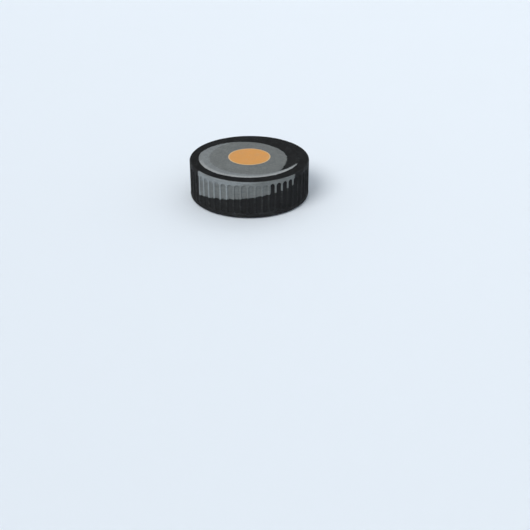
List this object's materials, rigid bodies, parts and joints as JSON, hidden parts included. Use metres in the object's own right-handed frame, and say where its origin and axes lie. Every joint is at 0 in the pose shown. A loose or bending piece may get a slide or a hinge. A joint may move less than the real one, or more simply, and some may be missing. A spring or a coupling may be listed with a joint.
{
  "type": "ice hockey puck",
  "caption": "Short solid rubber disc with a raised field and a lower border on each face, an upright ribbed grip round its edge, and a plain round printed spot on the upper face.",
  "frame": {"origin": "centre of the lower flat face, which rests on the ice", "axes": "+Z is the disc's axis and points up through the printed face; X and Y lie in the lower face, and the middle of one pocket of the grip is 1.8 degrees clockwise of +X, seen from above"},
  "size_m": [0.0762, 0.0762, 0.0255],
  "materials": {
    "vulcanised_rubber": "matte",
    "base_ink": "matte",
    "orange_ink": "satin"
  },
  "bodies": {
    "root": {"rubber_disc": "vulcanised_rubber", "print_base_coat": "base_ink", "print_top_coat": "orange_ink"}
  },
  "joints": []
}
